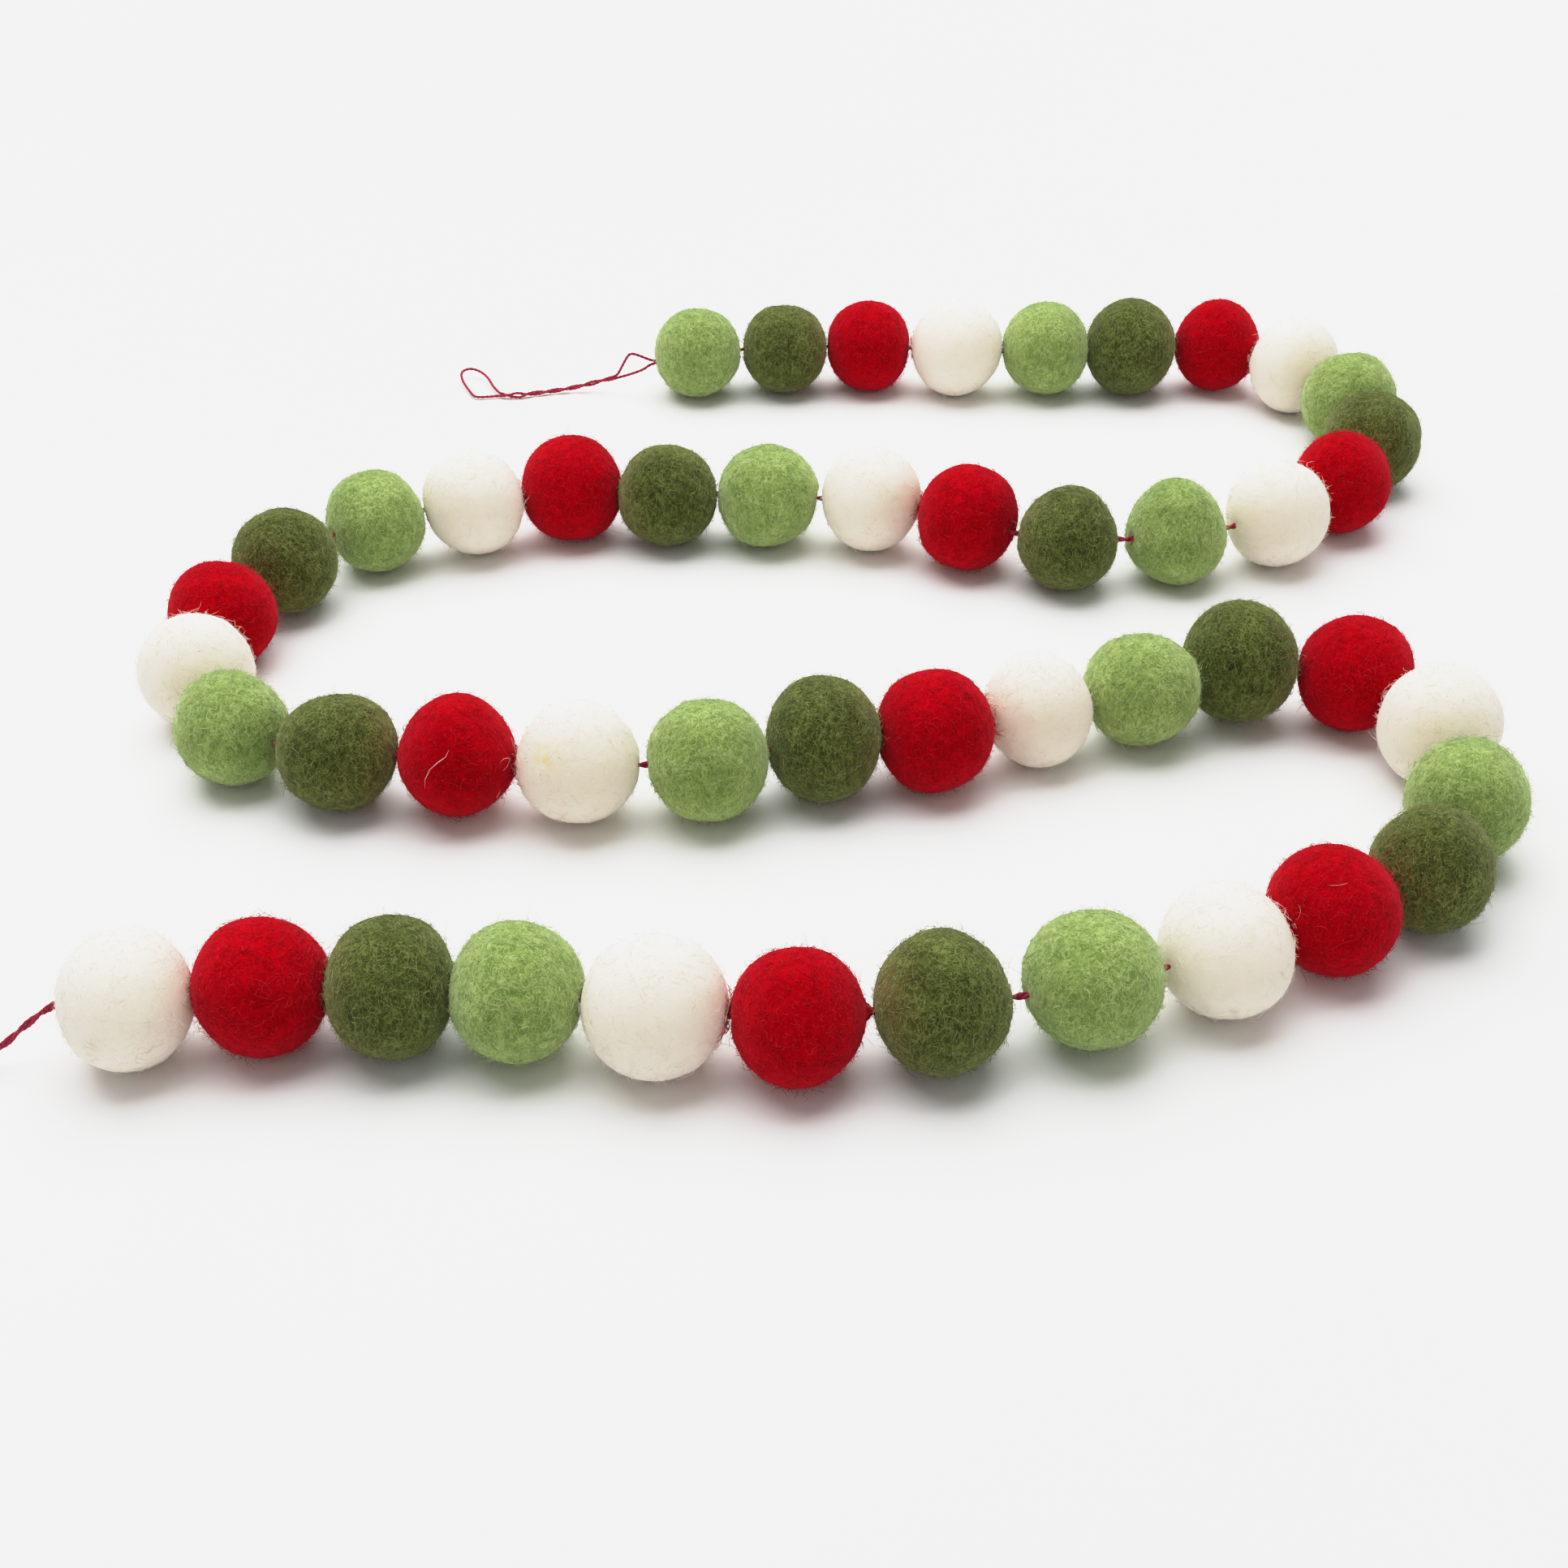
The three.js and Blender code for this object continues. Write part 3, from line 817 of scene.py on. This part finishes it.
def wisps(ball, end, rng, count, spread, length, curl, lift, thick):
    """Curls of loose wool round one of the ball's ends."""
    d = unit(end + rng.normal(0, 1, (count, 3)) * spread)
    tangent = unit(np.cross(d, unit(rng.normal(size=(count, 3)))))
    reach = rng.uniform(*length, count)
    bend = rng.normal(0, curl, count) + curl * np.sign(rng.normal(size=count))
    points, normals = [], []
    for k in range(WISP_STEPS + 1):
        rise = lift * rng.uniform(0.6, 1.4, count) * math.sin(math.pi * k / WISP_STEPS)
        points.append(ball.on_surface(d, 0.03 + rise))
        normals.append(d)
        d = unit(d + tangent * (reach / WISP_STEPS / ball.reach.mean())[:, None])
        tangent = unit(tangent - d * (tangent * d).sum(1)[:, None])
        tangent = turned(tangent, d, bend / WISP_STEPS)
    radius = thick * rng.uniform(0.7, 1.2, count)
    return hair_tubes(np.stack(points, 1), np.stack(normals, 1), radius)


def facing(right, up):
    """The direction from a ball's middle to a place that the photo shows so far right and up of it,
    both as shares of the ball's radius."""
    pitch = math.radians(CAMERA_PITCH)
    sine, cosine = math.sin(pitch), math.cos(pitch)
    near = math.sqrt(1 - right**2 - up**2)
    return np.array([right, up * sine - near * cosine, up * cosine + near * sine])


# Discoloured places: the ball, how far right and up of its middle they show, and their size.
MARKS = {28: (-0.45, 0.02, 0.2), 42: (-0.85, 0.0, 0.45)}

# The long pale fibre that lies on the front of one red ball.
PALE_FIBRE_BALL = 27
PALE_FIBRE = [
    (-0.38, -0.58),
    (-0.36, -0.42),
    (-0.27, -0.27),
    (-0.14, -0.16),
    (-0.02, -0.08),
    (0.04, 0.05),
]
PALE_FIBRE_RADIUS = 0.11
PALE_FIBRE_HEIGHT = 0.15

# The materials of a ball's parts, in the order in which its mesh holds them.
SKIN, OWN_WOOL, RED_WOOL, BLUSH_WOOL = range(4)


# Kinds of loose fibre: their number, their segments, the range of their lengths, how much they
# curl, how far they lift off the wool, how many of them stand at one end, and how thick they are.
FIBRE_KINDS = (
    (60, 6, (4.0, 8.5), 2.2, 0.30, 0.6, 0.042),
    (110, 4, (1.8, 4.2), 1.3, 0.12, 0.2, 0.048),
    (270, 4, (1.8, 5.0), 2.4, 0.48, 1.0, 0.038),
    (1450, 2, (0.8, 2.2), 1.2, 0.28, 1.0, 0.044),
)
FIBRE_FLOOR = 0.04  # the lowest that they run


def contact_wisps(ball, rng):
    """Where a white ball meets a red one, each has drawn the other's wool out into curls."""
    if ball.wool == "white":
        yield RED_WOOL, wisps(ball, ball.ends[0], rng, 60, 0.13, (1.4, 3.6), 1.0, 0.5, 0.075)
        yield BLUSH_WOOL, wisps(ball, ball.ends[0], rng, 18, 0.30, (3.0, 5.0), 6.0, 0.8, 0.032)
    if ball.wool == "red":
        yield BLUSH_WOOL, wisps(ball, ball.ends[1], rng, 10, 0.24, (3.0, 5.0), 6.0, 0.8, 0.032)


def mark_on(points, ball):
    """How strongly each point is discoloured, from 0 to 1."""
    if ball.number not in MARKS:
        return np.zeros(len(points))
    right, up, size = MARKS[ball.number]
    toward = unit(points - ball.centre) @ facing(right, up)
    return np.exp(-((np.arccos(np.clip(toward, -1, 1)) / size) ** 2))


def ball_piece(ball, balls):
    """A ball's skin with all its fibres, as one mesh."""
    wool = WOOLS[ball.wool]
    rng = np.random.default_rng(900 + ball.number)
    skin = ball.on_surface(SPHERE)
    parts = [(skin, SPHERE_FACES, SKIN)]
    tone = [np.zeros(len(skin))]
    for number, steps, length, bend, lift, standing, thick in FIBRE_KINDS:
        count = int(number * wool["fibres"])
        curl = wool["curl"] * bend
        paths, normals = fibre_paths(ball, rng, count, steps, length, curl, lift, standing)
        radius = thick * rng.uniform(0.7, 1.25, len(paths))
        hair, faces, per = hair_tubes(paths, normals, radius)
        hair[:, 2] = np.maximum(hair[:, 2], FIBRE_FLOOR)
        parts.append((hair, faces, OWN_WOOL))
        tone.append(np.repeat(rng.beta(1.6, 2.2, len(paths)), per))
    if ball.number == PALE_FIBRE_BALL:
        d = np.array([facing(*place) for place in PALE_FIBRE])
        path = ball.on_surface(d, PALE_FIBRE_HEIGHT)
        hair, faces, per = hair_tubes(path[None], d[None], np.array([PALE_FIBRE_RADIUS]))
        parts.append((hair, faces, BLUSH_WOOL))
        tone.append(np.full(per, 0.5))
    for kind, (hair, faces, per) in contact_wisps(ball, rng):
        parts.append((hair, faces, kind))
        tone.append(np.repeat(rng.random(len(hair) // per), per))
    offset, points, faces, kinds = 0, [], [], []
    for p, f, kind in parts:
        points.append(p)
        faces.append(f + offset)
        kinds.append(np.full(len(f), kind))
        offset += len(p)
    points = np.vstack(points)
    attributes = {
        "tone": np.concatenate(tone),
        "red_cast_shade": red_closeness(points, ball, balls),
        "mark": mark_on(points, ball),
    }
    piece = mesh_object(
        "felt_" + ball.name,
        points,
        np.vstack(faces),
        [FELT[ball.wool], LOOSE[ball.wool], LOOSE["red"], LOOSE["blush"]],
        np.concatenate(kinds),
        attributes,
    )
    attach(piece, "root")
    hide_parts(ball.name)


# Floor and light


def add_floor():
    bpy.ops.mesh.primitive_plane_add(size=8, location=(0, 1, -0.0002))
    floor = bpy.context.object
    floor.name = "floor"
    s = Shader("floor")
    cloud = s.between(s.noise(0.01, 2.0), 0.3, 0.7)
    shade = s.mix(cloud, linear(245, 245, 245), linear(248, 248, 248))
    floor.data.materials.append(s.finish(shade, 0.9, 0.1))


LAMP_PLACE = (-0.16, 0.44, 1.25)
LAMP_SIZES = (1.7, 1.5)
LAMP_POWER = 35.0
SURROUNDINGS = (1.0, 0.99, 0.975, 1)
SURROUNDINGS_STRENGTH = 0.38


def add_light():
    lamp = bpy.data.lights.new("overhead", "AREA")
    lamp.shape = "RECTANGLE"
    lamp.size, lamp.size_y = LAMP_SIZES
    lamp.energy = LAMP_POWER
    made = bpy.data.objects.new("overhead", lamp)
    made.location = LAMP_PLACE
    made.rotation_euler = (-made.location).to_track_quat("-Z", "Y").to_euler()
    bpy.context.scene.collection.objects.link(made)
    world = bpy.data.worlds.new("surroundings")
    world.use_nodes = True
    back = world.node_tree.nodes["Background"]
    back.inputs["Color"].default_value = SURROUNDINGS
    back.inputs["Strength"].default_value = SURROUNDINGS_STRENGTH
    bpy.context.scene.world = world


# The photo's exposure lets the floor reach its brightest tone, just under white: the light on
# the left is shown as the tone on the right, and all darker light as it is.
BRIGHTEST = 1.5
HIGHLIGHTS = ((0.5, 0.5), (0.7, 0.69), (0.9, 0.795), (1.1, 0.856), (1.3, 0.886), (1.48, 0.9))


def set_tones():
    settings = bpy.context.scene.view_settings
    settings.view_transform = "Standard"
    settings.use_curve_mapping = True
    tones = settings.curve_mapping
    tones.white_level = (BRIGHTEST,) * 3
    curve = tones.curves[3]
    for light, shown in HIGHLIGHTS:
        curve.points.new(light / BRIGHTEST, shown)
    curve.points[0].handle_type = curve.points[1].handle_type = "VECTOR"
    curve.points[-1].location = (1.0, HIGHLIGHTS[-1][1])
    tones.update()


# The whole

add_camera()
THREAD = thread_material()
FELT = {name: felt_material(name, wool) for name, wool in WOOLS.items()}
LOOSE = {name: loose_material(name, wool) for name, wool in {**WOOLS, "blush": BLUSH}.items()}

tail_rng = np.random.default_rng(77)
for name, node, start, end, pair, loop, swells in (
    ("tail_far", "thread_tail_far", FAR_UPPER, FAR_LOWER, FAR_PAIR, FAR_LOOP, FAR_SWELLS),
    ("tail_near", "thread_tail_near", [], [], NEAR_PAIR, NEAR_LOOP, NEAR_SWELLS),
):
    tail_piece(name, node, start, end, pair, loop, swells, tail_rng)

places, centres = stations()
inner_thread(places)
BALLS = [
    Ball(i + 1, name, centres[i], places[i], places[i + 1]) for i, name in enumerate(BALL_NAMES)
]
for ball in BALLS:
    ball_piece(ball, BALLS)

add_floor()
add_light()
set_tones()
